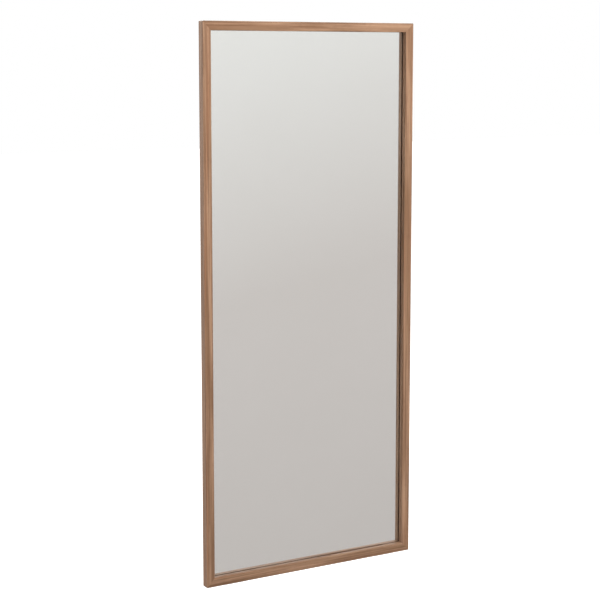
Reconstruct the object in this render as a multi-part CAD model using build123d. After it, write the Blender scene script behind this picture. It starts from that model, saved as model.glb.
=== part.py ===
from build123d import *

import math
import os

# A tall floor mirror in a mitred wood frame. It stands on two rubber feet by a wall, or hangs on two D rings.
# Millimetres, +Z up, the mirror faces -Y, and +X is to the right of someone who faces the mirror.
# The origin is the middle of the outline's base, with the feet's undersides at Z = 0.

# ---- Driving sizes ----------------------------------------------------------------------------------------

# Wood frame
frame_width = 700.0
frame_height = 1600.0
face_width = 26.0
lip_thickness = 15.5
lip_overlap = 7.0
outer_corner_radius = 3.0
outer_arris_radius = 2.0
inner_arris_radius = 1.2

# Loose tenons across the mitres
tenon_length = 16.0
tenon_width = 10.0
tenon_thickness = 5.0
tenon_edge_radius = 1.5
tenon_from_outline = 14.7
tenon_clearance = 0.1

# Pane, its coats and what packs it
glass_thickness = 3.0
glass_edge_gap = 2.0
glass_seam = 0.6
silvering_thickness = 0.2
film_thickness = 0.3
tape_thickness = 1.0
tape_width = 5.0
tape_inset = 1.0
block_length = 60.0
block_from_corner = 90.0
spacer_length = 25.0
spacer_from_corner = 150.0
packing_end_clearance = 0.5

# Back
board_thickness = 2.5
board_edge_gap = 1.0
clip_length = 22.0
clip_width = 10.0
clip_thickness = 1.0
clip_on_board = 8.0
clip_screw_from_rebate = 7.5
clips_per_long_side = 5
clips_per_short_side = 2
clip_from_long_end = 110.0
clip_from_short_end = 180.0

# Hangers
hanger_from_top = 270.0
strap_width = 9.0
strap_thickness = 1.1
strap_length = 42.0
strap_above_pin = 1.6
strap_tip_radius = 4.45
ring_wire_radius = 1.2
ring_inner_width = 12.0
ring_leg_length = 8.0
ring_corner_radius = 2.2
ring_strap_gap = 0.3
ring_running_clearance = 0.08
eye_wall = 1.1
hanger_screw_drops = [24.0, 37.0]

# Screws of the hangers and of the board clips
screw_radius = 1.5
screw_length = 13.0
screw_head_radius = 2.8
screw_head_height = 1.8
screw_clearance = 0.05
screw_recess_length = 3.4
screw_recess_width = 0.8
screw_recess_depth = 0.9

# Buffers and feet
bumper_radius = 6.5
bumper_thickness = 6.0
bumper_taper = 0.8
bumper_from_end = 20.0
foot_length = 70.0
foot_from_side = 60.0
foot_sole_thickness = 1.0
foot_front_inset = 2.0
foot_height = 18.0
foot_corner_radius = 4.0
foot_edge_radius = 1.5

# A cut runs this far past the face that it opens, and an edge this near to an outline counts as on it.
cut_margin = 1.0

# ---- Places worked out from them --------------------------------------------------------------------------

packed_depth = tape_thickness + glass_thickness + silvering_thickness + film_thickness + board_thickness
frame_depth = lip_thickness + packed_depth
overall_depth = frame_depth + bumper_thickness
front_y = -overall_depth / 2
back_y = front_y + frame_depth
frame_bottom_z = foot_sole_thickness
frame_top_z = frame_bottom_z + frame_height
frame_mid_z = (frame_bottom_z + frame_top_z) / 2

sight_width = frame_width - 2 * face_width
sight_height = frame_height - 2 * face_width
rebate_width = sight_width + 2 * lip_overlap
rebate_height = sight_height + 2 * lip_overlap
wall_width = face_width - lip_overlap

lip_back_y = front_y + lip_thickness
glass_front_y = lip_back_y + tape_thickness
glass_back_y = glass_front_y + glass_thickness
silvering_back_y = glass_back_y + silvering_thickness
film_back_y = silvering_back_y + film_thickness

glass_width = rebate_width - 2 * glass_edge_gap
glass_height = rebate_height - 2 * glass_edge_gap
ring_axis_y = back_y + strap_thickness + ring_strap_gap + ring_wire_radius
ring_half_bar = ring_inner_width / 2 + ring_wire_radius
hanger_x = frame_width / 2 - wall_width / 2
hanger_z = frame_top_z - hanger_from_top

SIDES = {"left": -1, "right": 1}
ENDS = {"bottom": -1, "top": 1}
RUNS = ("left", "right", "bottom", "top")


def save(name, solids):
    """Write one node's solid, or its group of separate solids."""
    shape = solids if isinstance(solids, list) else [solids]
    for solid in shape:
        solid.label = name
    target = shape[0] if len(shape) == 1 else Compound(label=name, children=shape)
    export_step(target, f"parts/{name}.step")


def block(x_size, y_from, y_to, z_size, x_mid=0.0, z_mid=frame_mid_z):
    """A square-edged block between two depths."""
    centre = Pos(x_mid, (y_from + y_to) / 2, z_mid)
    return centre * Box(x_size, y_to - y_from, z_size)


def rod(radius, length, start, direction):
    """A round bar from a start point along a direction."""
    plane = Plane(origin=start, z_dir=direction)
    return plane * Cylinder(radius, length, align=(Align.CENTER, Align.CENTER, Align.MIN))


def one_solid(shape):
    """The single solid in the result of a boolean."""
    return shape.solids().sort_by(SortBy.VOLUME)[-1]


# ---- Wood frame -------------------------------------------------------------------------------------------


def frame_before_cutting():
    """The whole frame with its softened edges, lip and rebate, before it is divided at the mitres."""
    body = block(frame_width, front_y, back_y, frame_height)
    body = fillet(body.edges().filter_by(Axis.Y), outer_corner_radius)
    outline = body.faces().sort_by(Axis.Y)[0].edges() + body.faces().sort_by(Axis.Y)[-1].edges()
    body = fillet(outline, outer_arris_radius)
    body -= block(sight_width, front_y - cut_margin, back_y + cut_margin, sight_height)
    half_width = sight_width / 2 + cut_margin
    half_height = sight_height / 2 + cut_margin
    inner = [
        edge
        for edge in body.faces().sort_by(Axis.Y)[0].edges()
        if abs(edge.center().X) < half_width and abs(edge.center().Z - frame_mid_z) < half_height
    ]
    body = fillet(inner, inner_arris_radius)
    return body - block(rebate_width, lip_back_y, back_y + cut_margin, rebate_height)


def mitre_sector(side_x, side_z):
    """A wedge that holds the one member of the frame that lies in this direction from the frame's middle."""
    near_corner = min(frame_width, frame_height) / 2
    reach = frame_height
    if side_x:
        points = [
            (side_x * (frame_width / 2 - near_corner), frame_mid_z + frame_height / 2 - near_corner),
            (side_x * (frame_width / 2 + reach), frame_mid_z + frame_height / 2 + reach),
            (side_x * (frame_width / 2 + reach), frame_mid_z - frame_height / 2 - reach),
            (side_x * (frame_width / 2 - near_corner), frame_mid_z - frame_height / 2 + near_corner),
        ]
    else:
        points = [
            (0.0, frame_mid_z + side_z * (frame_height / 2 - near_corner)),
            (frame_width / 2 + reach, frame_mid_z + side_z * (frame_height / 2 + reach)),
            (-frame_width / 2 - reach, frame_mid_z + side_z * (frame_height / 2 + reach)),
        ]
    outline = Plane.XZ * make_face(Polyline(*points, close=True))
    return extrude(outline, amount=overall_depth, both=True)


def corner_places():
    """Name and signs of each corner."""
    return {f"{end}_{side}": (SIDES[side], ENDS[end]) for end in ENDS for side in SIDES}


def tenon(side_x, side_z, clearance=0.0):
    """A loose tenon that lies across one mitre, level with the lip. With clearance it is its mortise."""
    middle = (
        side_x * (frame_width / 2 - tenon_from_outline),
        front_y + lip_thickness / 2 + inner_arris_radius / 2,
        frame_mid_z + side_z * (frame_height / 2 - tenon_from_outline),
    )
    along_mitre = Vector(-side_x, 0, -side_z).normalized()
    across_mitre = Vector(side_x, 0, -side_z).normalized()
    plane = Plane(origin=middle, x_dir=along_mitre, z_dir=across_mitre)
    bar = Box(
        tenon_width + 2 * clearance,
        tenon_thickness + 2 * clearance,
        tenon_length + 2 * clearance,
    )
    bar = fillet(bar.edges().filter_by(Axis.Z), tenon_edge_radius)
    return plane * bar


def frame_members():
    """The two stiles and two rails, mitred, mortised and drilled."""
    whole = frame_before_cutting()
    for side_x, side_z in corner_places().values():
        whole -= tenon(side_x, side_z, tenon_clearance)
    seats = [clip_screw_seat(place) for run in RUNS for place in clip_places(run)]
    for side_x in SIDES.values():
        seats += hanger_screw_seats(side_x)
    for seat in seats:
        whole -= screw_hole(seat)
    members = {}
    for name, side_x in SIDES.items():
        members[f"stile_{name}"] = one_solid(whole & mitre_sector(side_x, 0))
    for name, side_z in ENDS.items():
        members[f"rail_{name}"] = one_solid(whole & mitre_sector(0, side_z))
    return members


# ---- Pane and packing -------------------------------------------------------------------------------------


def pane():
    """The glass, with its sharp edges ground off all round."""
    sheet = block(glass_width, glass_front_y, glass_back_y, glass_height)
    faces = sheet.faces().sort_by(Axis.Y)
    return chamfer(faces[0].edges() + faces[-1].edges(), glass_seam)


def coat(y_from, y_to):
    """A coat or sheet behind the pane, as large as the flat of its back."""
    return block(glass_width - 2 * glass_seam, y_from, y_to, glass_height - 2 * glass_seam)


def tape(name):
    """A strip of foam tape on the back of the lip."""
    offset = lip_overlap - tape_inset - tape_width / 2
    middle_x = sight_width / 2 + lip_overlap - offset
    middle_z = sight_height / 2 + lip_overlap - offset
    long_run = 2 * middle_z + tape_width
    short_run = 2 * middle_x - tape_width - 2 * packing_end_clearance
    if name in SIDES:
        return block(tape_width, lip_back_y, glass_front_y, long_run, x_mid=SIDES[name] * middle_x)
    z_mid = frame_mid_z + ENDS[name] * middle_z
    return block(short_run, lip_back_y, glass_front_y, tape_width, z_mid=z_mid)


def setting_block(side_x):
    """A rubber block under the glass."""
    x_mid = side_x * (glass_width / 2 - block_from_corner)
    z_mid = frame_mid_z - rebate_height / 2 + glass_edge_gap / 2
    return block(block_length, glass_front_y, glass_back_y, glass_edge_gap, x_mid, z_mid)


def edge_spacers():
    """Rubber spacers between the glass and the sides and top of the rebate."""
    spacers = {}
    reach = glass_height / 2 - spacer_from_corner
    for side, sign in SIDES.items():
        x_mid = sign * (rebate_width / 2 - glass_edge_gap / 2)
        for level, end in (("lower", -1), ("upper", 1)):
            z_mid = frame_mid_z + end * reach
            spacers[f"edge_spacer_{side}_{level}"] = block(
                glass_edge_gap, glass_front_y, glass_back_y, spacer_length, x_mid, z_mid
            )
        x_top = sign * (glass_width / 2 - block_from_corner)
        z_top = frame_mid_z + rebate_height / 2 - glass_edge_gap / 2
        spacers[f"edge_spacer_top_{side}"] = block(
            spacer_length, glass_front_y, glass_back_y, glass_edge_gap, x_top, z_top
        )
    return spacers


# ---- Screws -----------------------------------------------------------------------------------------------


def screw_hole(seat):
    """The hole that a screw needs below the seat of its head."""
    return rod(screw_radius + screw_clearance, screw_length + screw_clearance, seat, Vector(0, -1, 0))


def pan_head_screw(seat):
    """A pan-head screw that points forward, with a cross recess in its head."""
    head = rod(screw_head_radius, screw_head_height, seat, Vector(0, 1, 0))
    head = fillet(head.edges().sort_by(Axis.Y)[-1], screw_head_height / 2)
    top_y = seat.Y + screw_head_height
    for x_size, z_size in (
        (screw_recess_length, screw_recess_width),
        (screw_recess_width, screw_recess_length),
    ):
        head -= block(x_size, top_y - screw_recess_depth, top_y + cut_margin, z_size, seat.X, seat.Z)
    return one_solid(rod(screw_radius, screw_length, seat, Vector(0, -1, 0)) + head)


# ---- Back -------------------------------------------------------------------------------------------------


def backing_board():
    """Hardboard panel that closes the back, level with the frame's own back."""
    return block(rebate_width - 2 * board_edge_gap, film_back_y, back_y, rebate_height - 2 * board_edge_gap)


def clip_places(run):
    """Where each clip of one side crosses the rebate's edge, and its direction outward."""
    if run in SIDES:
        outward = Vector(SIDES[run], 0, 0)
        reach = rebate_height / 2 - clip_from_long_end
        count = clips_per_long_side
    else:
        outward = Vector(0, 0, ENDS[run])
        reach = rebate_width / 2 - clip_from_short_end
        count = clips_per_short_side
    places = []
    for i in range(count):
        along = -reach + 2 * reach * i / (count - 1)
        if run in SIDES:
            places.append((Vector(outward.X * rebate_width / 2, back_y, frame_mid_z + along), outward))
        else:
            places.append((Vector(along, back_y, frame_mid_z + outward.Z * rebate_height / 2), outward))
    return places


def clip_screw_seat(place):
    """Where the screw of a clip enters the frame."""
    crossing, outward = place
    return crossing + outward * clip_screw_from_rebate + Vector(0, clip_thickness, 0)


def board_clip(place):
    """A flat steel strip with round ends that laps from the frame over the board, with its screw hole."""
    crossing, outward = place
    middle = crossing + outward * (clip_length / 2 - clip_on_board)
    plane = Plane(origin=middle, x_dir=outward, z_dir=(0, 1, 0))
    strip = extrude(plane * SlotOverall(clip_length, clip_width), amount=clip_thickness)
    return one_solid(strip - screw_hole(clip_screw_seat(place)))


# ---- Hangers ----------------------------------------------------------------------------------------------


def hanger_screw_seats(side_x):
    """The seats of the two screws of one strap plate."""
    seat_y = back_y + strap_thickness
    return [Vector(side_x * hanger_x, seat_y, hanger_z - drop) for drop in hanger_screw_drops]


def hanger_plate(side_x):
    """A strap with a rolled eye at its upper end, in which the ring's bar turns."""
    x = side_x * hanger_x
    eye_bore = ring_wire_radius + ring_running_clearance
    z_mid = hanger_z + strap_above_pin - (strap_length + strap_above_pin) / 2
    strap = block(strap_width, back_y, back_y + strap_thickness, strap_length + strap_above_pin, x, z_mid)
    tip = [e for e in strap.edges().filter_by(Axis.Y) if e.center().Z < z_mid]
    strap = fillet(tip, strap_tip_radius)
    bar_start = Vector(x - strap_width / 2, ring_axis_y, hanger_z)
    plate = strap + rod(eye_bore + eye_wall, strap_width, bar_start, Vector(1, 0, 0))
    plate -= rod(eye_bore, strap_width * 2, bar_start - Vector(strap_width / 2, 0, 0), Vector(1, 0, 0))
    for seat in hanger_screw_seats(side_x):
        plate -= screw_hole(seat)
    return one_solid(plate)


def hanger_ring(side_x):
    """A bent wire D ring: a straight bar in the eye, two legs and a half-round bow, hanging down."""
    half = ring_half_bar
    bend = ring_corner_radius
    bow_z = -ring_leg_length
    path = Wire(
        [
            Edge.make_line((-half + bend, 0, 0), (half - bend, 0, 0)),
            Edge.make_three_point_arc(
                (half - bend, 0, 0),
                (half - bend + bend * math.sin(math.pi / 4), 0, -bend + bend * math.cos(math.pi / 4)),
                (half, 0, -bend),
            ),
            Edge.make_line((half, 0, -bend), (half, 0, bow_z)),
            Edge.make_three_point_arc((half, 0, bow_z), (0, 0, bow_z - half), (-half, 0, bow_z)),
            Edge.make_line((-half, 0, bow_z), (-half, 0, -bend)),
            Edge.make_three_point_arc(
                (-half, 0, -bend),
                (-half + bend - bend * math.sin(math.pi / 4), 0, -bend + bend * math.cos(math.pi / 4)),
                (-half + bend, 0, 0),
            ),
        ]
    )
    section = Plane(origin=(0, 0, 0), z_dir=(1, 0, 0)) * Circle(ring_wire_radius)
    ring = sweep(section, path=path)
    return one_solid(Pos(side_x * hanger_x, ring_axis_y, hanger_z) * ring)


# ---- Buffers and feet -------------------------------------------------------------------------------------


def wall_bumper(side_x):
    """A tapered rubber buffer stuck to the back of a stile near its top."""
    plane = Plane(origin=(side_x * hanger_x, back_y, frame_top_z - bumper_from_end), z_dir=(0, 1, 0))
    cone = Cone(bumper_radius, bumper_radius - bumper_taper, bumper_thickness)
    return plane * Pos(0, 0, bumper_thickness / 2) * cone


def heel_foot(side_x):
    """A moulded rubber angle: a thin sole under the bottom rail, and a thick heel behind it."""
    x = side_x * (frame_width / 2 - foot_from_side - foot_length / 2)
    sole_front_y = front_y + foot_front_inset
    heel_back_y = back_y + bumper_thickness
    sole_mid_z = foot_sole_thickness / 2
    sole = block(foot_length, sole_front_y, heel_back_y, foot_sole_thickness, x, sole_mid_z)
    sole = fillet(sole.edges().filter_by(Axis.Z).sort_by(Axis.Y)[:2], foot_corner_radius)
    heel = block(foot_length, back_y, heel_back_y, foot_height, x, foot_height / 2)
    foot = one_solid(sole + heel)
    top_edge = foot.edges().filter_by(Axis.X).group_by(Axis.Z)[-1].sort_by(Axis.Y)[-1]
    return fillet(top_edge, foot_edge_radius)


# ---- Write every node -------------------------------------------------------------------------------------

os.makedirs("parts", exist_ok=True)

for member_name, member in frame_members().items():
    save(member_name, member)
for corner_name, (corner_x, corner_z) in corner_places().items():
    save(f"corner_tenon_{corner_name}", tenon(corner_x, corner_z))

save("mirror_glass", pane())
save("silvering", coat(glass_back_y, silvering_back_y))
save("safety_film", coat(silvering_back_y, film_back_y))
save("backing_board", backing_board())
for spacer_name, spacer in edge_spacers().items():
    save(spacer_name, spacer)

for run_name in RUNS:
    places = clip_places(run_name)
    save(f"glazing_tape_{run_name}", tape(run_name))
    save(f"board_clips_{run_name}", [board_clip(place) for place in places])
    save(f"clip_screws_{run_name}", [pan_head_screw(clip_screw_seat(place)) for place in places])

for side_name, side_sign in SIDES.items():
    save(f"setting_block_{side_name}", setting_block(side_sign))
    save(f"hanger_plate_{side_name}", hanger_plate(side_sign))
    save(f"hanger_ring_{side_name}", hanger_ring(side_sign))
    save(f"hanger_screws_{side_name}", [pan_head_screw(seat) for seat in hanger_screw_seats(side_sign)])
    save(f"wall_bumper_{side_name}", wall_bumper(side_sign))
    save(f"heel_foot_{side_name}", heel_foot(side_sign))
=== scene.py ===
import math

import bmesh
import bpy
from mathutils import Matrix, Vector


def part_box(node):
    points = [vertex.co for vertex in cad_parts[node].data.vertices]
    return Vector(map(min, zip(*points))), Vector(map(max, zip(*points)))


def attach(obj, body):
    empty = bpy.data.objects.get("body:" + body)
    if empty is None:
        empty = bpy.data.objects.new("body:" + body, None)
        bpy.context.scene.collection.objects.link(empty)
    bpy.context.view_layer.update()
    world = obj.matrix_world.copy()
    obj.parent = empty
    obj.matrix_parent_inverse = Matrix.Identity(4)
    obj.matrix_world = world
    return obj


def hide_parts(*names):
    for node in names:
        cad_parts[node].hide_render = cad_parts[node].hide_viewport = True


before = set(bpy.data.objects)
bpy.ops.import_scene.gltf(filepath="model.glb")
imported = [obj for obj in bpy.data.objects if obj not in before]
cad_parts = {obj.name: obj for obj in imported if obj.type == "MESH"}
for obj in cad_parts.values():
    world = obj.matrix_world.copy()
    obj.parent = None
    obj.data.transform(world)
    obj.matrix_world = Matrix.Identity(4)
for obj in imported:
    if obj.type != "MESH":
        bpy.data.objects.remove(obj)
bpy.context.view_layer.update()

# ---- Camera ------------------------------------------------------------------------------------------
# A long lens from the left, at about the height of the mirror's top, turned towards the frame and tipped
# a little down.

scene = bpy.context.scene
eye = Vector((-2.388, -3.899, 1.497))
turned_right = math.radians(31.15)
tipped_down = math.radians(7.76)

camera = bpy.data.objects.new("camera", bpy.data.cameras.new("camera"))
camera.location = eye
camera.rotation_euler = (math.pi / 2 - tipped_down, 0, -turned_right)
camera.data.lens = 95.51
camera.data.sensor_width = 36
camera.data.shift_y = -0.04
camera.data.dof.use_dof = False
scene.collection.objects.link(camera)
scene.camera = camera

# ---- Studio ------------------------------------------------------------------------------------------
# A white floor, a large soft light in front to the right, a weak one on the left and one for the back. What
# the glass mirrors is the studio's own grey, darker near the floor and paler towards the ceiling.

floor_size = 40.0
floor_colour = (0.50, 0.49, 0.48, 1)
studio_white = (1.0, 1.0, 1.0, 1)
studio_low = (0.570, 0.531, 0.522, 1)
studio_middle = (0.665, 0.623, 0.612, 1)
studio_eye_level = (0.865, 0.852, 0.845, 1)
studio_above = (1.05, 1.05, 1.03, 1)
studio_ceiling = (2.70, 2.70, 2.68, 1)
studio_dim = (0.31, 0.30, 0.29, 1)
paler_towards = Vector((-0.35, 0, 1))
lowest_look = -0.58
highest_look = 0.42


def shader_of(material):
    """The Principled shader of a material that has just been made, and its node tree."""
    material.use_nodes = True
    tree = material.node_tree
    return tree.nodes["Principled BSDF"], tree


def add(tree, kind, **settings):
    """A shader node with its properties set."""
    node = tree.nodes.new(kind)
    for name, value in settings.items():
        setattr(node, name, value)
    return node


def colour_ramp(tree, stops, factor):
    """A ramp through (position, colour) stops, driven by a socket."""
    ramp = add(tree, "ShaderNodeValToRGB")
    elements = ramp.color_ramp.elements
    while len(elements) < len(stops):
        elements.new(1.0)
    for element, (position, colour) in zip(elements, stops):
        element.position = position
        element.color = colour
    tree.links.new(factor, ramp.inputs["Fac"])
    return ramp.outputs["Color"]


def make_world():
    """White behind the object, a dim fill, and for the glass to mirror a grey that pales up and leftwards."""
    world = bpy.data.worlds.new("studio")
    world.use_nodes = True
    tree = world.node_tree
    background = tree.nodes["Background"]
    coordinates = add(tree, "ShaderNodeTexCoord")
    along = add(tree, "ShaderNodeVectorMath", operation="DOT_PRODUCT")
    along.inputs[1].default_value = paler_towards
    tree.links.new(coordinates.outputs["Generated"], along.inputs[0])
    height = add(tree, "ShaderNodeMapRange")
    height.inputs["From Min"].default_value = lowest_look
    height.inputs["From Max"].default_value = highest_look
    tree.links.new(along.outputs["Value"], height.inputs["Value"])
    stops = [(0.04, studio_low), (0.26, studio_middle), (0.41, studio_eye_level)]
    stops += [(0.55, studio_above), (0.9, studio_ceiling)]
    grey = colour_ramp(tree, stops, height.outputs["Result"])
    path = add(tree, "ShaderNodeLightPath")
    colour = grey
    for ray, seen in (("Is Diffuse Ray", studio_dim), ("Is Camera Ray", studio_white)):
        mix = add(tree, "ShaderNodeMix", data_type="RGBA")
        tree.links.new(path.outputs[ray], mix.inputs["Factor"])
        tree.links.new(colour, mix.inputs[6])
        mix.inputs[7].default_value = seen
        colour = mix.outputs[2]
    tree.links.new(colour, background.inputs["Color"])
    scene.world = world


def soft_light(name, place, aim, size, power, mirrored):
    """A large square light; an unmirrored one is left out of reflections."""
    lamp = bpy.data.lights.new(name, "AREA")
    lamp.shape = "SQUARE"
    lamp.size = size
    lamp.energy = power
    light = bpy.data.objects.new(name, lamp)
    light.location = place
    light.rotation_euler = (Vector(aim) - Vector(place)).to_track_quat("-Z", "Y").to_euler()
    light.visible_glossy = mirrored
    light.visible_camera = False
    light.visible_transmission = mirrored
    scene.collection.objects.link(light)


make_world()
soft_light("key_right", (1.0, -2.0, 2.45), (0, 0, 1.1), 1.3, 80, False)
soft_light("left_fill", (-2.9, -2.3, 1.5), (0, 0, 0.8), 1.6, 46, False)
soft_light("back_fill", (1.2, 2.6, 2.6), (0, 0, 0.9), 1.8, 55, True)

mesh = bpy.data.meshes.new("floor")
bm = bmesh.new()
bmesh.ops.create_grid(bm, x_segments=1, y_segments=1, size=floor_size / 2)
bm.to_mesh(mesh)
bm.free()
floor = bpy.data.objects.new("floor", mesh)
scene.collection.objects.link(floor)
floor_paint = bpy.data.materials.new("floor_paint")
shader, tree = shader_of(floor_paint)
shader.inputs["Base Color"].default_value = floor_colour
shader.inputs["Roughness"].default_value = 0.9
shader.inputs["Specular IOR Level"].default_value = 0.0
shader.inputs["Emission Color"].default_value = studio_white
path = add(tree, "ShaderNodeLightPath")
tree.links.new(path.outputs["Is Camera Ray"], shader.inputs["Emission Strength"])
mesh.materials.append(floor_paint)
floor.visible_glossy = False
floor.visible_transmission = False
scene.view_settings.view_transform = "Standard"
scene.cycles.use_denoising = True

# ---- Wood frame: two stiles and two rails ------------------------------------------------------------
# Four lengths of oiled hardwood, each planed to an L section, mitred at 45 degrees and glued over hidden
# tenons. The corners and arrises are eased with fine paper after gluing, and painted shade darkens the outer
# ones.

MM = 0.001
X, Y, Z = Vector((1, 0, 0)), Vector((0, 1, 0)), Vector((0, 0, 1))
SIDES = {"left": -1, "right": 1}
ENDS = {"bottom": -1, "top": 1}

corner_radius = 3.0 * MM
outer_arris = 2.0 * MM
sight_arris = 1.2 * MM
mitre_groove = 0.18 * MM
free_end_cut = 0.9
board_edge_gap = 1.0 * MM
wood_pale = (0.352, 0.212, 0.132, 1)
wood_mid = (0.214, 0.119, 0.066, 1)
wood_deep = (0.112, 0.051, 0.025, 1)
wood_red = (0.262, 0.122, 0.062, 1)
pore_brown = (0.048, 0.021, 0.011, 1)

frame_low = Vector((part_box("stile_left")[0].x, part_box("stile_left")[0].y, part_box("rail_bottom")[0].z))
frame_high = Vector((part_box("stile_right")[1].x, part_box("stile_right")[1].y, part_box("rail_top")[1].z))
frame_middle = (frame_low + frame_high) / 2
face_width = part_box("stile_left")[1].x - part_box("stile_left")[0].x
wall_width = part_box("backing_board")[0].x - board_edge_gap - frame_low.x
lip_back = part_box("glazing_tape_left")[0].y


def grain_group():
    """Wood along X with bands, streaks, pores and painted shade on the arrises, as colour, roughness and
    height.
    """
    group = bpy.data.node_groups.new("wood_grain", "ShaderNodeTree")
    face = group.interface
    face.new_socket("Vector", in_out="INPUT", socket_type="NodeSocketVector")
    for name in ("Pale", "Mid", "Deep", "Warm", "Pore"):
        face.new_socket(name, in_out="INPUT", socket_type="NodeSocketColor")
    face.new_socket("Arris Shade And Polish", in_out="INPUT", socket_type="NodeSocketFloat")
    face.new_socket("Pore Depth", in_out="INPUT", socket_type="NodeSocketFloat")
    face.new_socket("Color", in_out="OUTPUT", socket_type="NodeSocketColor")
    face.new_socket("Roughness", in_out="OUTPUT", socket_type="NodeSocketFloat")
    face.new_socket("Height", in_out="OUTPUT", socket_type="NodeSocketFloat")
    given = add(group, "NodeGroupInput")
    result = add(group, "NodeGroupOutput")
    link = group.links.new

    def stretched(along, across, detail, roughness, distortion=0.0):
        """Noise drawn out along the grain, in cycles per metre."""
        mapping = add(group, "ShaderNodeMapping")
        mapping.inputs["Scale"].default_value = (along, across, across)
        link(given.outputs["Vector"], mapping.inputs["Vector"])
        noise = add(group, "ShaderNodeTexNoise")
        noise.inputs["Scale"].default_value = 1.0
        noise.inputs["Detail"].default_value = detail
        noise.inputs["Roughness"].default_value = roughness
        noise.inputs["Distortion"].default_value = distortion
        link(mapping.outputs["Vector"], noise.inputs["Vector"])
        return noise.outputs["Fac"]

    def between(value, low, high):
        """Stretches a value's useful range to 0..1, eased at both ends."""
        ranged = add(group, "ShaderNodeMapRange", interpolation_type="SMOOTHSTEP")
        ranged.inputs["From Min"].default_value = low
        ranged.inputs["From Max"].default_value = high
        link(value, ranged.inputs["Value"])
        return ranged.outputs["Result"]

    def blend(factor, first, second, mode="MIX"):
        mix = add(group, "ShaderNodeMix", data_type="RGBA", blend_type=mode)
        link(factor, mix.inputs["Factor"])
        link(first, mix.inputs[6])
        link(second, mix.inputs[7])
        return mix.outputs[2]

    def times(value, amount):
        product = add(group, "ShaderNodeMath", operation="MULTIPLY")
        link(value, product.inputs[0])
        if isinstance(amount, float):
            product.inputs[1].default_value = amount
        else:
            link(amount, product.inputs[1])
        return product.outputs["Value"]

    bands = between(stretched(2.4, 42, 3, 0.55, 0.4), 0.36, 0.66)
    streaks = between(stretched(3.4, 235, 5, 0.66), 0.36, 0.66)
    warm = times(between(stretched(1.7, 85, 2, 0.5), 0.52, 0.74), 0.75)
    pore_mask = between(stretched(42, 2100, 2, 0.5), 0.615, 0.69)
    pores = times(pore_mask, between(stretched(2.0, 150, 2, 0.5), 0.30, 0.62))
    tone = blend(bands, given.outputs["Pale"], given.outputs["Mid"])
    tone = blend(warm, tone, given.outputs["Warm"])
    tone = blend(times(streaks, 0.74), tone, given.outputs["Deep"])
    tone = blend(times(pores, 0.72), tone, given.outputs["Pore"])
    # Painted shade: the marked middles of the outer arrises are darkened towards the pore brown.
    tone = blend(times(given.outputs["Arris Shade And Polish"], 0.62), tone, given.outputs["Pore"])
    link(tone, result.inputs["Color"])

    gloss = add(group, "ShaderNodeMapRange")
    gloss.inputs["To Min"].default_value = 0.40
    gloss.inputs["To Max"].default_value = 0.56
    link(streaks, gloss.inputs["Value"])
    polished = add(group, "ShaderNodeMath", operation="MULTIPLY_ADD")
    link(given.outputs["Arris Shade And Polish"], polished.inputs[0])
    polished.inputs[1].default_value = -0.10
    link(gloss.outputs["Result"], polished.inputs[2])
    link(polished.outputs["Value"], result.inputs["Roughness"])

    height = add(group, "ShaderNodeMath", operation="SUBTRACT")
    link(times(streaks, -0.25), height.inputs[0])
    link(times(pores, given.outputs["Pore Depth"]), height.inputs[1])
    link(height.outputs["Value"], result.inputs["Height"])
    return group


wood_grain = grain_group()


def wood(name, colours, along, offset, pore_depth=1.0, bump_height=0.06 * MM, arris_shade_and_polish=True):
    """A wood whose grain runs along X or Z, cut from its own place in the board."""
    material = bpy.data.materials.new(name)
    shader, tree = shader_of(material)
    coordinates = add(tree, "ShaderNodeTexCoord")
    mapping = add(tree, "ShaderNodeMapping")
    mapping.inputs["Location"].default_value = offset
    if along == Z:
        mapping.inputs["Rotation"].default_value = (0, math.pi / 2, 0)
    tree.links.new(coordinates.outputs["Object"], mapping.inputs["Vector"])
    grain = add(tree, "ShaderNodeGroup", node_tree=wood_grain)
    for socket, colour in zip(("Pale", "Mid", "Deep", "Warm", "Pore"), colours):
        grain.inputs[socket].default_value = colour
    grain.inputs["Pore Depth"].default_value = pore_depth
    if arris_shade_and_polish:
        # The arris mark darkens the colour as painted shade and lowers the roughness a little.
        arris_shade_and_polish_mark = add(tree, "ShaderNodeAttribute", attribute_name="arris_shade_and_polish")
        tree.links.new(arris_shade_and_polish_mark.outputs["Fac"], grain.inputs["Arris Shade And Polish"])
    bump = add(tree, "ShaderNodeBump")
    bump.inputs["Strength"].default_value = 0.5
    bump.inputs["Distance"].default_value = bump_height
    tree.links.new(mapping.outputs["Vector"], grain.inputs["Vector"])
    tree.links.new(grain.outputs["Color"], shader.inputs["Base Color"])
    tree.links.new(grain.outputs["Roughness"], shader.inputs["Roughness"])
    tree.links.new(grain.outputs["Height"], bump.inputs["Height"])
    tree.links.new(bump.outputs["Normal"], shader.inputs["Normal"])
    shader.inputs["Specular IOR Level"].default_value = 0.32
    shader.inputs["Coat Roughness"].default_value = 0.4
    shader.inputs["Coat Weight"].default_value = 0.03
    return material


def block(low, high):
    """A bmesh block between two corners."""
    made = bmesh.new()
    bmesh.ops.create_cube(made, size=1.0)
    bmesh.ops.scale(made, verts=made.verts, vec=high - low)
    bmesh.ops.translate(made, verts=made.verts, vec=(low + high) / 2)
    return made


def runs_along(edge, direction):
    """Whether an edge is parallel to a unit direction."""
    return abs((edge.verts[0].co - edge.verts[1].co).normalized().dot(direction)) > 0.99


def extreme_face(made, direction):
    """The face that lies furthest in a direction."""
    return max(made.faces, key=lambda f: f.calc_center_median().dot(direction))


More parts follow.
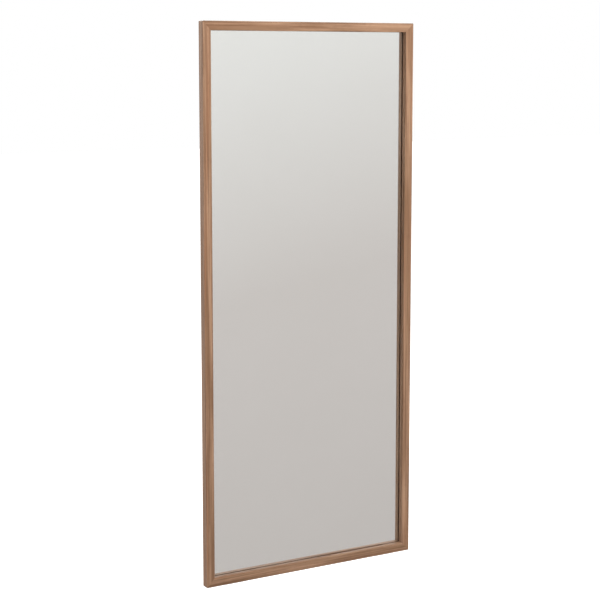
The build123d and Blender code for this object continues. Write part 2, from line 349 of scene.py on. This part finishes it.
def soften(made, edges, radius, segments, arris_shade_and_polish_layer=None):
    """Rounds edges, and marks the middle of each rounding for painted shade and a lower roughness."""
    result = bmesh.ops.bevel(
        made,
        geom=edges,
        offset=radius,
        offset_type="OFFSET",
        affect="EDGES",
        segments=segments,
        profile=0.5,
        material=-1,
        clamp_overlap=True,
    )
    if arris_shade_and_polish_layer is not None:
        rounded = set(result["faces"])
        for vert in result["verts"]:
            if vert.is_valid and all(f in rounded for f in vert.link_faces):
                vert[arris_shade_and_polish_layer] = 1.0


def make_piece(name, made, materials, body, stands_for, smooth_angle=40, even=True):
    """Turns a bmesh into a shown piece that rides on a body and stands for CAD nodes."""
    bmesh.ops.remove_doubles(made, verts=made.verts, dist=1e-6)
    bmesh.ops.recalc_face_normals(made, faces=made.faces)
    mesh = bpy.data.meshes.new(name)
    made.to_mesh(mesh)
    made.free()
    mesh.shade_smooth()
    mesh.set_sharp_from_angle(angle=math.radians(smooth_angle))
    for material in materials:
        mesh.materials.append(material)
    piece = bpy.data.objects.new(name, mesh)
    scene.collection.objects.link(piece)
    if even:
        piece.modifiers.new("even_shading", "WEIGHTED_NORMAL").keep_sharp = True
    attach(piece, body)
    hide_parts(*stands_for)
    return piece


def glued_up_frame():
    """The whole frame as it leaves the glue press: an L-sectioned ring with eased edges."""
    made = block(frame_low, frame_high)
    # Marks the middles of the outer arrises, where painted shade darkens the wood.
    arris_shade_and_polish = made.verts.layers.float.new("arris_shade_and_polish")
    front = extreme_face(made, -Y)
    bmesh.ops.inset_region(made, faces=[front], thickness=face_width, use_even_offset=True)
    back = extreme_face(made, Y)
    bmesh.ops.inset_region(made, faces=[back], thickness=wall_width, use_even_offset=True)
    rebate = bmesh.ops.extrude_discrete_faces(made, faces=[back])["faces"][0]
    bmesh.ops.translate(made, verts=rebate.verts, vec=Y * (lip_back - frame_high.y))
    overlap = face_width - wall_width
    bmesh.ops.inset_region(made, faces=[rebate], thickness=overlap, use_even_offset=True)
    rims = list(front.edges) + list(rebate.edges)
    bmesh.ops.delete(made, geom=[front, rebate], context="FACES_ONLY")
    bmesh.ops.bridge_loops(made, edges=rims)

    def on(edge, axis, value):
        return all(abs(v.co[axis] - value) < 1e-6 for v in edge.verts)

    def outside(edge):
        middle = (edge.verts[0].co + edge.verts[1].co) / 2 - frame_middle
        half = (frame_high - frame_low) / 2
        return abs(middle.x) > half.x - corner_radius or abs(middle.z) > half.z - corner_radius

    corners = [e for e in made.edges if runs_along(e, Y) and outside(e)]
    soften(made, corners, corner_radius, 5)
    outline = [e for e in made.edges if outside(e) and (on(e, 1, frame_low.y) or on(e, 1, frame_high.y))]
    soften(made, outline, outer_arris, 5, arris_shade_and_polish)
    inner = [e for e in made.edges if on(e, 1, frame_low.y) and not outside(e) and is_sight_edge(e)]
    soften(made, inner, sight_arris, 4)
    return made


def is_sight_edge(edge):
    """An edge of the opening in the front, as first cut."""
    half = (frame_high - frame_low) / 2
    middle = (edge.verts[0].co + edge.verts[1].co) / 2 - frame_middle
    return (
        abs(abs(middle.x) - (half.x - face_width)) < 1e-5 or abs(abs(middle.z) - (half.z - face_width)) < 1e-5
    )


def frame_member(whole, outward, across):
    """One member, cut from the ring at its two mitres, with the mitre edges broken to a hairline groove."""
    made = whole.copy()
    half = (frame_high - frame_low) / 2
    reach = abs(half.dot(outward))
    width = abs(half.dot(across))
    short = min(half.x, half.z)
    cuts = [(frame_middle + outward * (reach - short * free_end_cut), -outward)]
    for sign in (-1, 1):
        corner = frame_middle + outward * reach + across * sign * width
        cuts.append((corner, (across * sign - outward).normalized()))
    for place, normal in cuts:
        everything = list(made.verts) + list(made.edges) + list(made.faces)
        found = bmesh.ops.bisect_plane(
            made, geom=everything, dist=1e-7, plane_co=place, plane_no=normal, clear_outer=True
        )
        rim = [g for g in found["geom_cut"] if isinstance(g, bmesh.types.BMEdge)]
        if normal != -outward:
            closed = bmesh.ops.edgenet_fill(made, edges=rim)["faces"]
            soften(made, list({e for f in closed for e in f.edges}), mitre_groove, 1)
    return made


frame_colours = (wood_pale, wood_mid, wood_deep, wood_red, pore_brown)
whole = glued_up_frame()
for side, sign in SIDES.items():
    name = f"stile_{side}"
    material = wood(f"{name}_wood", frame_colours, Z, (0.37 + 2.6 * sign, 1.3 * sign, 0.23 * sign))
    make_piece(f"{name}_oiled", frame_member(whole, X * sign, Z), [material], "frame", [name])
for end, sign in ENDS.items():
    name = f"rail_{end}"
    material = wood(f"{name}_wood", frame_colours, X, (4.1 * sign, 2.2 * sign, 0.41 * sign))
    make_piece(f"{name}_oiled", frame_member(whole, Z * sign, X), [material], "frame", [name])
whole.free()

# ---- Corner tenons -----------------------------------------------------------------------------------
# Loose beech tenons, glued into a mortise across each mitre. They are sealed in and only seen if the frame
# comes apart, so the CAD solids stay and get beech.

beech = (
    (0.66, 0.47, 0.31, 1),
    (0.60, 0.41, 0.26, 1),
    (0.50, 0.32, 0.19, 1),
    (0.62, 0.40, 0.25, 1),
    (0.30, 0.17, 0.09, 1),
)


def finish_node(name, material):
    """Gives a CAD node its material."""
    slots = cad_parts[name].data.materials
    slots.clear()
    slots.append(material)


tenon_beech = wood("tenon_beech", beech, X, (0, 0, 0), arris_shade_and_polish=False)
for end in ENDS:
    for side in SIDES:
        finish_node(f"corner_tenon_{end}_{side}", tenon_beech)

# ---- Mirror pane -------------------------------------------------------------------------------------
# A sheet of 3 mm float glass with its edges ground off. The glass is clear with a trace of green, which
# shows only through its edge.

glass_seam = 0.6 * MM
glass_tint = (0.985, 0.995, 0.988, 1)
ground_edge_colour = (0.62, 0.74, 0.69, 1)
ground_hollow_colour = (0.50, 0.62, 0.57, 1)

clear_glass = bpy.data.materials.new("clear_glass")
shader, tree = shader_of(clear_glass)
shader.inputs["Base Color"].default_value = glass_tint
shader.inputs["Roughness"].default_value = 0.0
shader.inputs["IOR"].default_value = 1.52
shader.inputs["Transmission Weight"].default_value = 1.0
coordinates = add(tree, "ShaderNodeTexCoord")
roller_wave = add(tree, "ShaderNodeTexNoise")
roller_wave.inputs["Scale"].default_value = 2.2
roller_wave.inputs["Detail"].default_value = 1.0
wave_bump = add(tree, "ShaderNodeBump")
wave_bump.inputs["Strength"].default_value = 0.02
wave_bump.inputs["Distance"].default_value = 0.02 * MM
tree.links.new(coordinates.outputs["Object"], roller_wave.inputs["Vector"])
tree.links.new(roller_wave.outputs["Fac"], wave_bump.inputs["Height"])
tree.links.new(wave_bump.outputs["Normal"], shader.inputs["Normal"])

ground_edge = bpy.data.materials.new("ground_glass_edge")
shader, tree = shader_of(ground_edge)
shader.inputs["IOR"].default_value = 1.52
shader.inputs["Transmission Weight"].default_value = 0.6
coordinates = add(tree, "ShaderNodeTexCoord")
wheel_marks = add(tree, "ShaderNodeTexNoise")
wheel_marks.inputs["Scale"].default_value = 900
tree.links.new(coordinates.outputs["Object"], wheel_marks.inputs["Vector"])
grit_stops = [(0.3, ground_hollow_colour), (0.7, ground_edge_colour)]
grit = colour_ramp(tree, grit_stops, wheel_marks.outputs["Fac"])
tree.links.new(grit, shader.inputs["Base Color"])
shader.inputs["Roughness"].default_value = 0.45

low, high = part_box("mirror_glass")
bm = block(low, high)
rims = [e for e in bm.edges if not runs_along(e, Y)]
soften(bm, rims, glass_seam, 1)
for face in bm.faces:
    face.material_index = 0 if abs(face.normal.y) > 0.999 else 1
make_piece("float_glass_pane", bm, [clear_glass, ground_edge], "frame", ["mirror_glass"])

# ---- Silvering ---------------------------------------------------------------------------------------
# Silver, copper and two coats of grey paint on the back of the pane. The silver is what mirrors; the paint
# is what shows if the board is taken off.

coat_gap = 0.04 * MM
silver_colour = (0.905, 0.902, 0.892, 1)
silver_aged = (0.890, 0.886, 0.872, 1)

silver = bpy.data.materials.new("silver")
shader, tree = shader_of(silver)
shader.inputs["Metallic"].default_value = 1.0
shader.inputs["Roughness"].default_value = 0.0
coordinates = add(tree, "ShaderNodeTexCoord")
cloudiness = add(tree, "ShaderNodeTexNoise")
cloudiness.inputs["Scale"].default_value = 1.6
cloudiness.inputs["Detail"].default_value = 2.0
tree.links.new(coordinates.outputs["Object"], cloudiness.inputs["Vector"])
faint = colour_ramp(tree, [(0.35, silver_aged), (0.65, silver_colour)], cloudiness.outputs["Fac"])
tree.links.new(faint, shader.inputs["Base Color"])

backing_paint = bpy.data.materials.new("backing_paint")
shader, tree = shader_of(backing_paint)
coordinates = add(tree, "ShaderNodeTexCoord")
curtain = add(tree, "ShaderNodeTexNoise")
curtain.inputs["Scale"].default_value = 60
tree.links.new(coordinates.outputs["Object"], curtain.inputs["Vector"])
paint_stops = [(0.3, (0.19, 0.20, 0.21, 1)), (0.7, (0.23, 0.24, 0.25, 1))]
paint = colour_ramp(tree, paint_stops, curtain.outputs["Fac"])
tree.links.new(paint, shader.inputs["Base Color"])
shader.inputs["Roughness"].default_value = 0.6

low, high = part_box("silvering")
bm = block(low + Y * coat_gap, high)
for face in bm.faces:
    face.material_index = 0 if face.normal.y < -0.5 else 1
make_piece("silver_coat", bm, [silver, backing_paint], "frame", ["silvering"])

# ---- Film, tapes, blocks and spacers -----------------------------------------------------------------
# What packs the pane in its rebate: a woven safety film on its back, brown foam tape on the lip, rubber
# blocks that carry the weight and rubber spacers round the edge. All are cut square from sheet.


def mottle_group():
    """A fine random mottle between two colours, with the roughness and height that go with it."""
    group = bpy.data.node_groups.new("fine_mottle", "ShaderNodeTree")
    face = group.interface
    face.new_socket("Vector", in_out="INPUT", socket_type="NodeSocketVector")
    for name in ("Dark", "Light"):
        face.new_socket(name, in_out="INPUT", socket_type="NodeSocketColor")
    for name in ("Scale", "Mean Roughness"):
        face.new_socket(name, in_out="INPUT", socket_type="NodeSocketFloat")
    face.new_socket("Color", in_out="OUTPUT", socket_type="NodeSocketColor")
    face.new_socket("Roughness", in_out="OUTPUT", socket_type="NodeSocketFloat")
    face.new_socket("Height", in_out="OUTPUT", socket_type="NodeSocketFloat")
    given = add(group, "NodeGroupInput")
    result = add(group, "NodeGroupOutput")
    link = group.links.new
    noise = add(group, "ShaderNodeTexNoise")
    noise.inputs["Detail"].default_value = 6.0
    noise.inputs["Roughness"].default_value = 0.6
    link(given.outputs["Vector"], noise.inputs["Vector"])
    link(given.outputs["Scale"], noise.inputs["Scale"])
    spread = add(group, "ShaderNodeMapRange")
    spread.inputs["From Min"].default_value = 0.35
    spread.inputs["From Max"].default_value = 0.65
    link(noise.outputs["Fac"], spread.inputs["Value"])
    mix = add(group, "ShaderNodeMix", data_type="RGBA")
    link(spread.outputs["Result"], mix.inputs["Factor"])
    link(given.outputs["Dark"], mix.inputs[6])
    link(given.outputs["Light"], mix.inputs[7])
    link(mix.outputs[2], result.inputs["Color"])
    matt = add(group, "ShaderNodeMath", operation="MULTIPLY_ADD")
    link(spread.outputs["Result"], matt.inputs[0])
    matt.inputs[1].default_value = 0.10
    link(given.outputs["Mean Roughness"], matt.inputs[2])
    link(matt.outputs["Value"], result.inputs["Roughness"])
    link(noise.outputs["Fac"], result.inputs["Height"])
    return group


fine_mottle = mottle_group()


def speckled(name, dark, light, size, roughness, grain_height, metallic=0.0):
    """A sheet, plated or moulded material with a fine random mottle in its colour and surface."""
    material = bpy.data.materials.new(name)
    shader, tree = shader_of(material)
    coordinates = add(tree, "ShaderNodeTexCoord")
    mottle = add(tree, "ShaderNodeGroup", node_tree=fine_mottle)
    mottle.inputs["Dark"].default_value = dark
    mottle.inputs["Light"].default_value = light
    mottle.inputs["Scale"].default_value = 1.0 / size
    mottle.inputs["Mean Roughness"].default_value = roughness
    bump = add(tree, "ShaderNodeBump")
    bump.inputs["Strength"].default_value = 0.6
    bump.inputs["Distance"].default_value = grain_height
    tree.links.new(coordinates.outputs["Object"], mottle.inputs["Vector"])
    tree.links.new(mottle.outputs["Color"], shader.inputs["Base Color"])
    tree.links.new(mottle.outputs["Roughness"], shader.inputs["Roughness"])
    tree.links.new(mottle.outputs["Height"], bump.inputs["Height"])
    tree.links.new(bump.outputs["Normal"], shader.inputs["Normal"])
    shader.inputs["Metallic"].default_value = metallic
    return material


film = speckled("safety_film", (0.42, 0.46, 0.50, 1), (0.52, 0.56, 0.59, 1), 4 * MM, 0.4, 0.02 * MM)
foam_tape = speckled("foam_tape", (0.060, 0.026, 0.012, 1), (0.105, 0.050, 0.026, 1), 0.6 * MM, 0.8, 0.1 * MM)
black_rubber = speckled(
    "black_rubber", (0.020, 0.020, 0.021, 1), (0.040, 0.040, 0.041, 1), 1.2 * MM, 0.62, 0.05 * MM
)

finish_node("safety_film", film)
for run in ("left", "right", "bottom", "top"):
    finish_node(f"glazing_tape_{run}", foam_tape)
for side in SIDES:
    finish_node(f"setting_block_{side}", black_rubber)
    finish_node(f"edge_spacer_{side}_lower", black_rubber)
    finish_node(f"edge_spacer_{side}_upper", black_rubber)
    finish_node(f"edge_spacer_top_{side}", black_rubber)

# ---- Backing board -----------------------------------------------------------------------------------
# A panel of thin hardboard, pressed from wood fibre: brown, smooth and slightly shiny on the side that
# shows, with its sawn edges rubbed down. It lies level with the frame's back.

board_arris = 0.4 * MM
hardboard = bpy.data.materials.new("hardboard")
shader, tree = shader_of(hardboard)
coordinates = add(tree, "ShaderNodeTexCoord")
clouds = add(tree, "ShaderNodeTexNoise")
clouds.inputs["Scale"].default_value = 9
clouds.inputs["Detail"].default_value = 4
fibres = add(tree, "ShaderNodeTexNoise")
fibres.inputs["Scale"].default_value = 420
fibres.inputs["Detail"].default_value = 5
fibres.inputs["Distortion"].default_value = 1.2
chips = add(tree, "ShaderNodeTexVoronoi")
chips.inputs["Scale"].default_value = 260
for pattern in (clouds, fibres, chips):
    tree.links.new(coordinates.outputs["Object"], pattern.inputs["Vector"])
ground = colour_ramp(
    tree, [(0.30, (0.168, 0.093, 0.049, 1)), (0.70, (0.242, 0.142, 0.080, 1))], clouds.outputs["Fac"]
)
fleck_stops = [(0.36, (0.62, 0.60, 0.58, 1)), (0.52, (1, 1, 1, 1)), (0.70, (1.25, 1.2, 1.12, 1))]
flecks = colour_ramp(tree, fleck_stops, fibres.outputs["Fac"])
pressed = add(tree, "ShaderNodeMix", data_type="RGBA", blend_type="MULTIPLY")
pressed.inputs["Factor"].default_value = 0.8
tree.links.new(ground, pressed.inputs[6])
tree.links.new(flecks, pressed.inputs[7])
bits = colour_ramp(tree, [(0.05, (0.10, 0.055, 0.03, 1)), (0.16, (1, 1, 1, 1))], chips.outputs["Distance"])
bitty = add(tree, "ShaderNodeMix", data_type="RGBA", blend_type="MULTIPLY")
bitty.inputs["Factor"].default_value = 0.35
tree.links.new(pressed.outputs[2], bitty.inputs[6])
tree.links.new(bits, bitty.inputs[7])
tree.links.new(bitty.outputs[2], shader.inputs["Base Color"])
board_gloss = add(tree, "ShaderNodeMapRange")
board_gloss.inputs["To Min"].default_value = 0.42
board_gloss.inputs["To Max"].default_value = 0.68
tree.links.new(fibres.outputs["Fac"], board_gloss.inputs["Value"])
tree.links.new(board_gloss.outputs["Result"], shader.inputs["Roughness"])
bump = add(tree, "ShaderNodeBump")
bump.inputs["Strength"].default_value = 0.4
bump.inputs["Distance"].default_value = 0.05 * MM
tree.links.new(fibres.outputs["Fac"], bump.inputs["Height"])
tree.links.new(bump.outputs["Normal"], shader.inputs["Normal"])

low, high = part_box("backing_board")
bm = block(low, high)
soften(bm, list(bm.edges), board_arris, 2)
make_piece("hardboard_back", bm, [hardboard], "frame", ["backing_board"])

# ---- Board clips -------------------------------------------------------------------------------------
# Flat strips of zinc-plated steel with round ends, pressed out of thin sheet. Each is screwed to the back
# of the frame and laps over the board's edge to keep it in.

clip_width = 10.0 * MM
clip_end_radius = 4.9 * MM
clip_arris = 0.15 * MM
clip_counts = {"left": 5, "right": 5, "bottom": 2, "top": 2}
zinc = speckled(
    "zinc_plate", (0.47, 0.48, 0.49, 1), (0.66, 0.67, 0.68, 1), 3.5 * MM, 0.34, 0.008 * MM, metallic=1.0
)


def pressed_plate(low, high, radius, rounded):
    """A flat plate between two corners, with those of its upright arrises rounded that lie where asked."""
    made = bmesh.new()
    bmesh.ops.create_grid(made, x_segments=1, y_segments=1, size=0.5)
    bmesh.ops.rotate(made, verts=made.verts, matrix=Matrix.Rotation(math.pi / 2, 3, "X"))
    size = high - low
    middle = (low + high) / 2
    bmesh.ops.scale(made, verts=made.verts, vec=(size.x, 1, size.z))
    bmesh.ops.translate(made, verts=made.verts, vec=(middle.x, low.y, middle.z))
    corners = [v for v in made.verts if rounded(v.co - middle)]
    bmesh.ops.bevel(
        made, geom=corners, offset=radius, affect="VERTICES", segments=8, profile=0.5, material=-1
    )
    grown = bmesh.ops.extrude_face_region(made, geom=list(made.faces))["geom"]
    bmesh.ops.translate(made, verts=[g for g in grown if isinstance(g, bmesh.types.BMVert)], vec=Y * size.y)
    bmesh.ops.recalc_face_normals(made, faces=made.faces)
    return made


def join(parts):
    """One bmesh made from several, which are freed."""
    whole = bmesh.new()
    for part in parts:
        scrap = bpy.data.meshes.new("scrap")
        part.to_mesh(scrap)
        part.free()
        whole.from_mesh(scrap)
        bpy.data.meshes.remove(scrap)
    return whole


def spread(low, high, run, half_piece):
    """The middles of the like pieces that fill a box along one side of the frame."""
    along = Z if run in SIDES else X
    half_run = (high - low).dot(along) / 2 - half_piece
    count = clip_counts[run]
    return [(low + high) / 2 + along * half_run * (2 * i / (count - 1) - 1) for i in range(count)]


for run in clip_counts:
    name = f"board_clips_{run}"
    low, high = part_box(name)
    along = Z if run in SIDES else X
    half_size = (high - low) / 2
    half_size -= along * (half_size.dot(along) - clip_width / 2)
    clips = []
    for middle in spread(low, high, run, clip_width / 2):
        clip = pressed_plate(middle - half_size, middle + half_size, clip_end_radius, lambda corner: True)
        crisp = [e for e in clip.edges if e.calc_face_angle() > 1.0]
        soften(clip, crisp, clip_arris, 2)
        clips.append(clip)
    make_piece(f"pressed_clips_{run}", join(clips), [zinc], "frame", [name])

# ---- Clip screws -------------------------------------------------------------------------------------
# One pan-head wood screw through each clip, yellow-passivated steel with a cross recess.

screw_zinc = speckled(
    "screw_zinc", (0.52, 0.44, 0.26, 1), (0.70, 0.62, 0.42, 1), 2 * MM, 0.3, 0.01 * MM, metallic=1.0
)
screw_head_radius = 2.8 * MM
screw_head_height = 1.8 * MM
screw_dome = 0.85 * MM
screw_shank_radius = 1.5 * MM
screw_taper_from = 9.0 * MM
screw_tip = 12.8 * MM
recess_half = 0.45 * MM
recess_reach = 1.7 * MM
recess_depth = 0.9 * MM
recess_taper = 0.7
full_turns = 7.0


def turned(profile, place, axis, sides):
    """A turned bmesh, from a profile of (radius, height) points that starts and ends on the axis."""
    made = bmesh.new()
    verts = [made.verts.new((radius, 0, height)) for radius, height in profile]
    edges = [made.edges.new(pair) for pair in zip(verts, verts[1:])]
    bmesh.ops.spin(
        made,
        geom=verts + edges,
        cent=(0, 0, 0),
        axis=(0, 0, 1),
        angle=2 * math.pi,
        steps=sides,
        use_merge=True,
    )
    bmesh.ops.remove_doubles(made, verts=made.verts, dist=1e-7)
    bmesh.ops.recalc_face_normals(made, faces=made.faces)
    turn = axis.to_track_quat("Z", "Y").to_matrix().to_4x4()
    bmesh.ops.transform(made, verts=made.verts, matrix=Matrix.Translation(place) @ turn)
    return made


def pan_head(place):
    """A pan head that faces +Y, with a cross recess pressed into it, and its shank."""
    head = bmesh.new()
    bmesh.ops.create_circle(head, cap_ends=True, segments=32, radius=screw_head_radius)
    grown = bmesh.ops.extrude_face_region(head, geom=head.faces[:])["geom"]
    lifted = [g for g in grown if isinstance(g, bmesh.types.BMVert)]
    bmesh.ops.translate(head, verts=lifted, vec=(0, 0, screw_head_height))
    bmesh.ops.recalc_face_normals(head, faces=head.faces)
    shoulder = [e for e in head.edges if all(abs(v.co.z - screw_head_height) < 1e-7 for v in e.verts)]
    soften(head, shoulder, screw_dome, 5)
    cutter = bmesh.new()
    for x_size, y_size in ((recess_reach, recess_half), (recess_half, recess_reach)):
        arm = bmesh.ops.create_cube(cutter, size=2.0)["verts"]
        bmesh.ops.scale(cutter, verts=arm, vec=(x_size, y_size, recess_depth))
        bmesh.ops.translate(cutter, verts=arm, vec=(0, 0, screw_head_height))
        for vert in arm:
            if vert.co.z < screw_head_height:
                vert.co.x *= recess_taper
                vert.co.y *= recess_taper
    cut = pressed_into(head, cutter)
    profile = [(0, 0), (screw_shank_radius, 0), (screw_shank_radius, -screw_taper_from), (0, -screw_tip)]
    shank = turned(profile, Vector(), Z, 16)
    whole = join([cut, shank])
    turn = Matrix.Rotation(full_turns * (place.x + place.z), 4, "Z")
    seat = Matrix.Translation(place) @ Y.to_track_quat("Z", "Y").to_matrix().to_4x4() @ turn
    bmesh.ops.transform(whole, verts=whole.verts, matrix=seat)
    return whole


def pressed_into(solid, cutter):
    """The solid with the cutter's shape pressed out of it."""
    pieces = []
    for name, made in (("solid", solid), ("cutter", cutter)):
        mesh = bpy.data.meshes.new(name)
        bmesh.ops.recalc_face_normals(made, faces=made.faces)
        made.to_mesh(mesh)
        made.free()
        piece = bpy.data.objects.new(name, mesh)
        scene.collection.objects.link(piece)
        pieces.append(piece)
    cut = pieces[0].modifiers.new("cut", "BOOLEAN")
    cut.operation = "DIFFERENCE"
    cut.solver = "EXACT"
    cut.use_self = True
    cut.object = pieces[1]
    evaluated = pieces[0].evaluated_get(bpy.context.evaluated_depsgraph_get())
    result = bmesh.new()
    result.from_mesh(evaluated.to_mesh())
    for piece in pieces:
        mesh = piece.data
        bpy.data.objects.remove(piece)
        bpy.data.meshes.remove(mesh)
    return result


for run in clip_counts:
    low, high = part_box(f"clip_screws_{run}")
    seats = spread(low, high, run, screw_head_radius)
    for seat in seats:
        seat.y = high.y - screw_head_height
    heads = join([pan_head(seat) for seat in seats])
    name = f"clip_screws_{run}"
    make_piece(f"pan_head_{name}", heads, [screw_zinc], "frame", [name], 30)

# ---- Hanger plates -----------------------------------------------------------------------------------
# A strap of zinc-plated steel on the back of each stile. Its lower end is rounded, it has two screws, and
# its upper end is rolled round the ring's bar.

strap_thickness = 1.1 * MM
strap_end_radius = 4.45 * MM
strap_arris = 0.18 * MM
strap_rise = 3.0 * MM
eye_turn = math.radians(300)
eye_steps = 22

ring_low, ring_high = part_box("hanger_ring_left")
wire_radius = (ring_high.y - ring_low.y) / 2
bar_y = (ring_low.y + ring_high.y) / 2
bar_z = ring_high.z - wire_radius

for side in SIDES:
    name = f"hanger_plate_{side}"
    low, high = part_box(name)
    x_middle = (low.x + high.x) / 2
    eye_radius = high.z - bar_z
    flat_high = Vector((high.x, frame_high.y + strap_thickness, bar_z - strap_rise))
    bm = pressed_plate(
        Vector((low.x, frame_high.y, low.z)), flat_high, strap_end_radius, lambda corner: corner.z < 0
    )
    lead = bmesh.ops.extrude_discrete_faces(bm, faces=[extreme_face(bm, Z)])["faces"][0]
    lift = Y * (bar_y - eye_radius - frame_high.y)
    bmesh.ops.translate(bm, verts=lead.verts, vec=Z * strap_rise + lift)
    bmesh.ops.spin(
        bm, geom=[lead], cent=(x_middle, bar_y, bar_z), axis=(-1, 0, 0), angle=eye_turn, steps=eye_steps
    )
    bmesh.ops.delete(bm, geom=[lead], context="FACES_ONLY")
    bmesh.ops.remove_doubles(bm, verts=bm.verts, dist=1e-7)
    bmesh.ops.recalc_face_normals(bm, faces=bm.faces)
    crisp = [e for e in bm.edges if len(e.link_faces) == 2 and e.calc_face_angle() > 1.0]
    soften(bm, crisp, strap_arris, 2)
    make_piece(f"strap_plate_{side}", bm, [zinc], "frame", [name])

# ---- Hanger rings ------------------------------------------------------------------------------------
# A D of nickel-plated wire: a straight bar in the plate's eye, two short legs and a half-round bow. It
# hangs down over the plate and swings up behind the frame.

ring_bend = 2.2 * MM
wire_sides = 20
nickel = speckled(
    "nickel_wire", (0.52, 0.51, 0.48, 1), (0.68, 0.67, 0.64, 1), 5 * MM, 0.22, 0.006 * MM, metallic=1.0
)


def bend(made, loop, centre, degrees, steps):
    """Turns an open loop of wire about a Y axis and returns its new end."""
    return bmesh.ops.spin(
        made, geom=loop, cent=centre, axis=(0, 1, 0), angle=math.radians(degrees), steps=steps
    )["geom_last"]


def run_on(made, loop, step):
    """Draws a loop of wire straight on and returns its new end."""
    edges = [g for g in loop if isinstance(g, bmesh.types.BMEdge)]
    grown = bmesh.ops.extrude_edge_only(made, edges=edges)["geom"]
    bmesh.ops.translate(made, verts=[g for g in grown if isinstance(g, bmesh.types.BMVert)], vec=step)
    return [g for g in grown if not isinstance(g, bmesh.types.BMFace)]


for side in SIDES:
    name = f"hanger_ring_{side}"
    low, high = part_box(name)
    x_middle = (low.x + high.x) / 2
    half = (high.x - low.x) / 2 - wire_radius
    leg = bar_z - (low.z + wire_radius) - half - ring_bend
    bm = bmesh.new()
    start = bmesh.ops.create_circle(bm, cap_ends=False, segments=wire_sides, radius=wire_radius)["verts"]
    bmesh.ops.rotate(bm, verts=start, matrix=Matrix.Rotation(math.pi / 2, 3, "Y"))
    bmesh.ops.translate(bm, verts=start, vec=(x_middle, bar_y, bar_z))
    loop = list(bm.verts) + list(bm.edges)
    loop = run_on(bm, loop, X * (half - ring_bend))
    loop = bend(bm, loop, (x_middle + half - ring_bend, bar_y, bar_z - ring_bend), 90, 6)
    loop = run_on(bm, loop, -Z * leg)
    loop = bend(bm, loop, (x_middle, bar_y, bar_z - ring_bend - leg), 180, 20)
    loop = run_on(bm, loop, Z * leg)
    loop = bend(bm, loop, (x_middle - half + ring_bend, bar_y, bar_z - ring_bend), 90, 6)
    run_on(bm, loop, X * (half - ring_bend))
    make_piece(f"wire_ring_{side}", bm, [nickel], f"ring_{side}", [name], even=False)

# ---- Hanger screws -----------------------------------------------------------------------------------
# Two of the same pan-head wood screws in each strap plate.

for side in SIDES:
    name = f"hanger_screws_{side}"
    low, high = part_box(name)
    x_middle = (low.x + high.x) / 2
    seat_y = high.y - screw_head_height
    seats = [Vector((x_middle, seat_y, z)) for z in (low.z + screw_head_radius, high.z - screw_head_radius)]
    heads = join([pan_head(seat) for seat in seats])
    make_piece(f"pan_head_{name}", heads, [screw_zinc], "frame", [name], 30)

# ---- Wall buffers ------------------------------------------------------------------------------------
# Moulded rubber buttons stuck to the back near the top corners. They keep the frame and the hangers off
# the wall, and have a slight taper, a rounded rim and a shallow dimple.

buffer_lean = 0.6 * MM
buffer_rim = 1.2 * MM
buffer_dimple = 0.6 * MM
dimple_share = 0.45
dimple_floor_share = 0.30
buffer_rubber = speckled(
    "buffer_rubber", (0.028, 0.028, 0.029, 1), (0.060, 0.060, 0.062, 1), 0.9 * MM, 0.58, 0.05 * MM
)
for side in SIDES:
    name = f"wall_bumper_{side}"
    low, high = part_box(name)
    radius = (high.x - low.x) / 2
    tall = high.y - low.y
    rim_radius = radius - buffer_lean - buffer_rim
    profile = [(0, 0), (radius, 0)]
    for degrees in range(0, 91, 15):
        angle = math.radians(degrees)
        out = rim_radius + buffer_rim * math.cos(angle)
        profile.append((out, tall - buffer_rim + buffer_rim * math.sin(angle)))
    profile.append((radius * dimple_share, tall))
    profile.append((radius * dimple_floor_share, tall - buffer_dimple * 0.75))
    profile.append((0, tall - buffer_dimple))
    place = Vector(((low.x + high.x) / 2, low.y, (low.z + high.z) / 2))
    bm = turned(profile, place, Y, 40)
    make_piece(f"buffer_{side}", bm, [buffer_rubber], "frame", [name], 50)

# ---- Heel feet ---------------------------------------------------------------------------------------
# Two moulded rubber angles stuck to the bottom rail: a thin sole under it, and a thick heel behind it that
# steadies the mirror and spaces it off the wall. Three grooves run across the back of each heel.

sole_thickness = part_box("rail_bottom")[0].z
groove_height = 1.2 * MM
groove_depth = 0.5 * MM
groove_slope = 0.36 * MM
groove_levels = [4.0 * MM, 8.0 * MM, 12.0 * MM]
sole_corner = 4.0 * MM
heel_arris = 1.5 * MM
for side in SIDES:
    name = f"heel_foot_{side}"
    low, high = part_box(name)
    outline = [(low.y, sole_thickness), (low.y, low.z), (high.y, low.z)]
    for level in groove_levels:
        outline += [(high.y, level), (high.y - groove_depth, level + groove_slope)]
        groove_top = level + groove_height
        outline += [(high.y - groove_depth, groove_top - groove_slope), (high.y, groove_top)]
    outline += [(high.y, high.z), (frame_high.y, high.z), (frame_high.y, sole_thickness)]
    bm = bmesh.new()
    section = bm.faces.new([bm.verts.new((low.x, y, z)) for y, z in outline])
    grown = bmesh.ops.extrude_face_region(bm, geom=[section])["geom"]
    shift = X * (high.x - low.x)
    bmesh.ops.translate(bm, verts=[g for g in grown if isinstance(g, bmesh.types.BMVert)], vec=shift)
    bmesh.ops.recalc_face_normals(bm, faces=bm.faces)
    front_corners = [e for e in bm.edges if all(abs(v.co.y - low.y) < 1e-6 for v in e.verts)]
    front_corners = [e for e in front_corners if abs(e.verts[0].co.x - e.verts[1].co.x) < 1e-6]
    soften(bm, front_corners, sole_corner, 8)
    heel_top = [e for e in bm.edges if all((v.co - high).yz.length < 1e-6 for v in e.verts)]
    soften(bm, heel_top, heel_arris, 5)
    make_piece(f"moulded_foot_{side}", bm, [buffer_rubber], "frame", [name])
